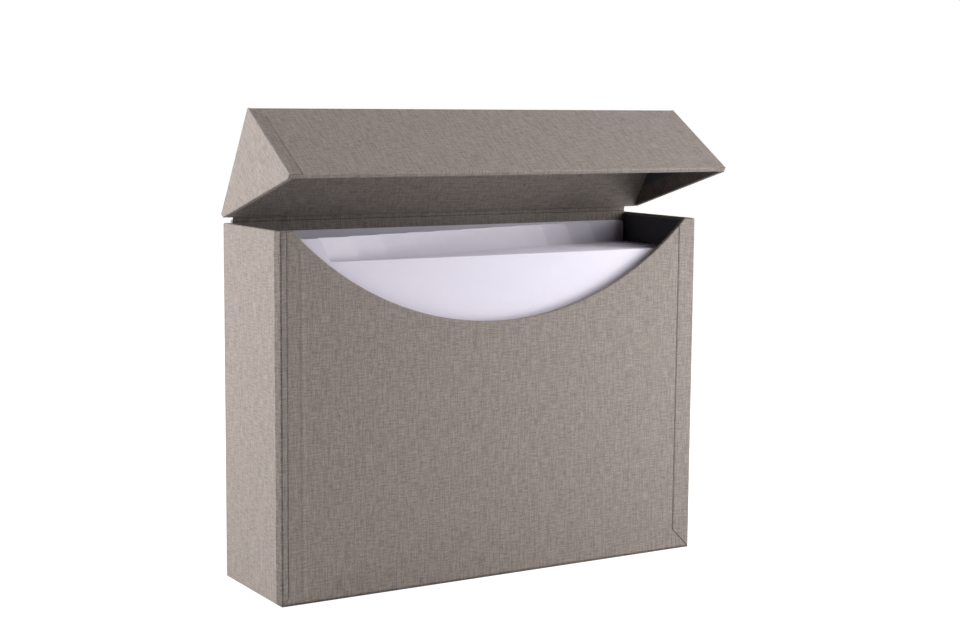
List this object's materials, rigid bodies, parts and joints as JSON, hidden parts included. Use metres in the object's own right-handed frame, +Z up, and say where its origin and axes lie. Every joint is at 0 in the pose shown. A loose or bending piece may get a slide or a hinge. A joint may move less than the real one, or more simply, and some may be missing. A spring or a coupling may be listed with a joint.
{
  "type": "file box with hinged lid",
  "caption": "Upright file box in linen cloth with a scooped front, a hinged lid with a front flap, and tabbed card dividers.",
  "frame": {"origin": "centre of the underside of the box", "axes": "+X to the box's right seen from the front, +Y to its back, +Z up"},
  "size_m": [0.3412, 0.119, 0.3219],
  "materials": {
    "greyboard": "bare grey board",
    "linen_cloth": "heathered linen book cloth, matt",
    "black_paper": "matt black lining paper",
    "divider_card": "smooth white card, matt"
  },
  "bodies": {
    "box": {"base_board": "greyboard", "front_board": "greyboard", "back_board": "greyboard", "left_board": "greyboard", "right_board": "greyboard", "base_cloth": "linen_cloth", "front_cloth": "linen_cloth", "back_cloth": "linen_cloth", "left_cloth": "linen_cloth", "right_cloth": "linen_cloth", "base_lining": "black_paper", "front_lining": "black_paper", "back_lining": "black_paper", "left_lining": "black_paper", "right_lining": "black_paper", "hinge_tongue_board": "greyboard", "hinge_tongue_cloth": "linen_cloth", "body_hinge_strip": "linen_cloth"},
    "lid": {"lid_top_board": "greyboard", "lid_flap_board": "greyboard", "lid_left_cheek_board": "greyboard", "lid_right_cheek_board": "greyboard", "lid_outer_cloth": "linen_cloth", "lid_left_cheek_cloth": "linen_cloth", "lid_right_cheek_cloth": "linen_cloth", "lid_inner_cloth": "linen_cloth", "lid_flap_lining": "black_paper", "lid_left_cheek_lining": "black_paper", "lid_right_cheek_lining": "black_paper", "lid_hinge_strip": "linen_cloth"},
    "divider_01": {"divider_01": "divider_card"},
    "divider_02": {"divider_02": "divider_card"},
    "divider_03": {"divider_03": "divider_card"},
    "divider_04": {"divider_04": "divider_card"},
    "divider_05": {"divider_05": "divider_card"},
    "divider_06": {"divider_06": "divider_card"},
    "divider_07": {"divider_07": "divider_card"},
    "divider_08": {"divider_08": "divider_card"},
    "divider_09": {"divider_09": "divider_card"},
    "divider_10": {"divider_10": "divider_card"},
    "divider_11": {"divider_11": "divider_card"},
    "divider_12": {"divider_12": "divider_card"},
    "backing_sheet": {"backing_sheet": "divider_card"}
  },
  "joints": [
    {"name": "lid_hinge", "type": "hinge", "parent": "box", "child": "lid", "pos_m": [0, 0.0375, 0.2485], "axis": [-1, 0, 0], "range_deg": [-57.5, 132.5]},
    {"name": "divider_01_lift", "type": "slide", "parent": "box", "child": "divider_01", "axis": [0, 0, 1], "range_m": [0, 0.06]},
    {"name": "divider_02_lift", "type": "slide", "parent": "box", "child": "divider_02", "axis": [0, 0, 1], "range_m": [0, 0.06]},
    {"name": "divider_03_lift", "type": "slide", "parent": "box", "child": "divider_03", "axis": [0, 0, 1], "range_m": [0, 0.06]},
    {"name": "divider_04_lift", "type": "slide", "parent": "box", "child": "divider_04", "axis": [0, 0, 1], "range_m": [0, 0.06]},
    {"name": "divider_05_lift", "type": "slide", "parent": "box", "child": "divider_05", "axis": [0, 0, 1], "range_m": [0, 0.06]},
    {"name": "divider_06_lift", "type": "slide", "parent": "box", "child": "divider_06", "axis": [0, 0, 1], "range_m": [0, 0.06]},
    {"name": "divider_07_lift", "type": "slide", "parent": "box", "child": "divider_07", "axis": [0, 0, 1], "range_m": [0, 0.057]},
    {"name": "divider_08_lift", "type": "slide", "parent": "box", "child": "divider_08", "axis": [0, 0, 1], "range_m": [0, 0.047]},
    {"name": "divider_09_lift", "type": "slide", "parent": "box", "child": "divider_09", "axis": [0, 0, 1], "range_m": [0, 0.037]},
    {"name": "divider_10_lift", "type": "slide", "parent": "box", "child": "divider_10", "axis": [0, 0, 1], "range_m": [0, 0.026]},
    {"name": "divider_11_lift", "type": "slide", "parent": "box", "child": "divider_11", "axis": [0, 0, 1], "range_m": [0, 0.016]},
    {"name": "divider_12_lift", "type": "slide", "parent": "box", "child": "divider_12", "axis": [0, 0, 1], "range_m": [0, 0.007]},
    {"name": "backing_sheet_lift", "type": "slide", "parent": "box", "child": "backing_sheet", "axis": [0, 0, 1], "range_m": [0, 0.006]}
  ]
}
